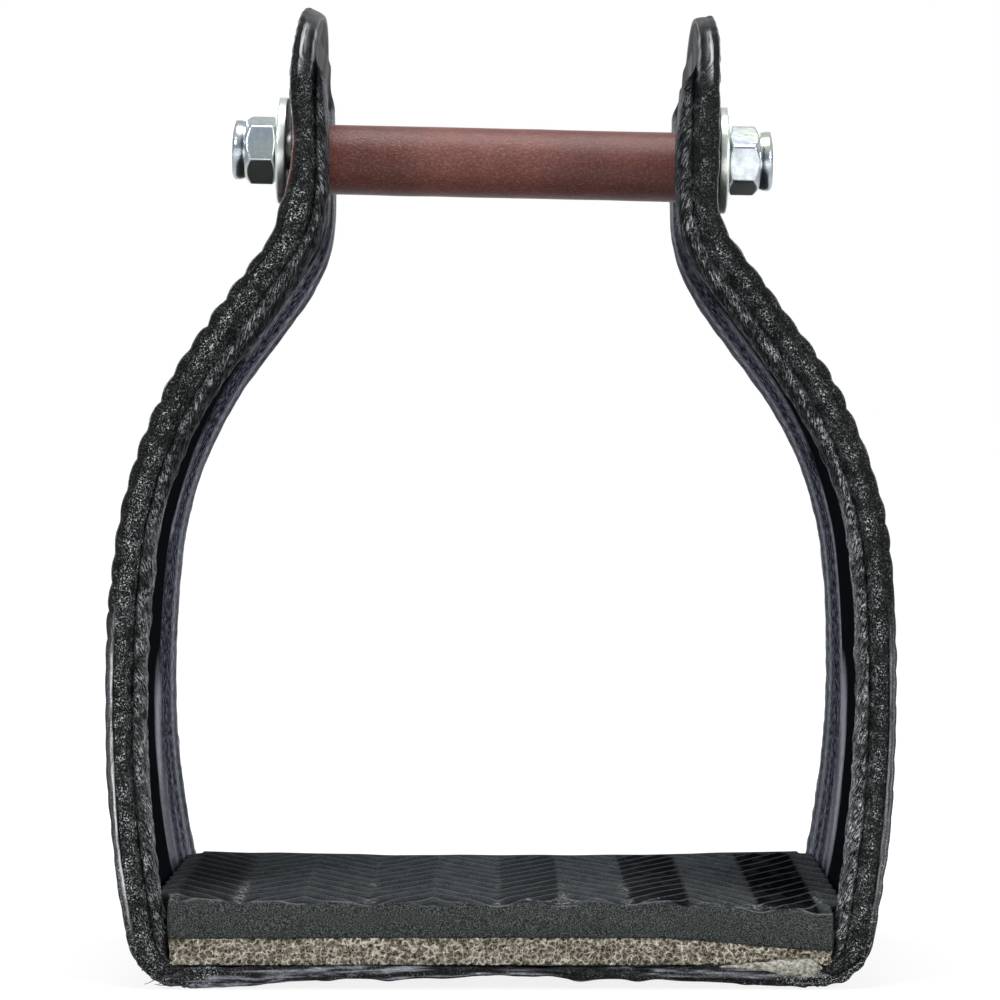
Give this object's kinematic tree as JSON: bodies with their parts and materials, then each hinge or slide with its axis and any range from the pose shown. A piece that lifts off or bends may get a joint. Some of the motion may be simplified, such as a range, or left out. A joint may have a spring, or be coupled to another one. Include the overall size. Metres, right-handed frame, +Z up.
{
  "type": "endurance stirrup",
  "caption": "Bell-shaped riding stirrup: leather-covered metal band, foam tread with a ribbed rubber top, and a roller on a nutted rod between upright ears.",
  "frame": {"origin": "on the ground, under the middle of the base", "axes": "+Z up from the base to the ears, +X across the stirrup towards the lower ear, +Y from the front edge to the rear edge"},
  "size_m": [0.1573, 0.0998, 0.1972],
  "materials": {
    "band_metal": "mill finish, hidden under leather",
    "cover_leather": "black grained leather, satin",
    "lining_leather": "black wrinkled soft leather, satin",
    "thread": "black waxed thread",
    "tan_foam": "tan open-cell foam, cut",
    "black_rubber": "black closed-cell rubber with herringbone ribs",
    "glue": "dried off-white glue",
    "roller_paint": "red-brown mottled satin paint",
    "rod_steel": "plain steel",
    "zinc": "bright zinc plate",
    "nylon": "white nylon"
  },
  "bodies": {
    "stirrup": {"frame_band": "band_metal", "outer_leather": "cover_leather", "arm_leather_left": "lining_leather", "arm_leather_right": "lining_leather", "seam_thread_front_left": "thread", "seam_thread_front_right": "thread", "seam_thread_rear_left": "thread", "seam_thread_rear_right": "thread", "tread_foam": "tan_foam", "tread_rubber": "black_rubber", "glue_bead": "glue", "pin_rod": "rod_steel", "washer_left": "zinc", "washer_right": "zinc", "lock_nut_left": "zinc", "lock_nut_right": "zinc", "nylon_insert_left": "nylon", "nylon_insert_right": "nylon"},
    "roller": {"roller": "roller_paint"}
  },
  "joints": [
    {"name": "roller_spin", "type": "hinge", "parent": "stirrup", "child": "roller", "pos_m": [0.00076, 0, 0.16536], "axis": [0.9998, 0, -0.022], "continuous": true}
  ]
}
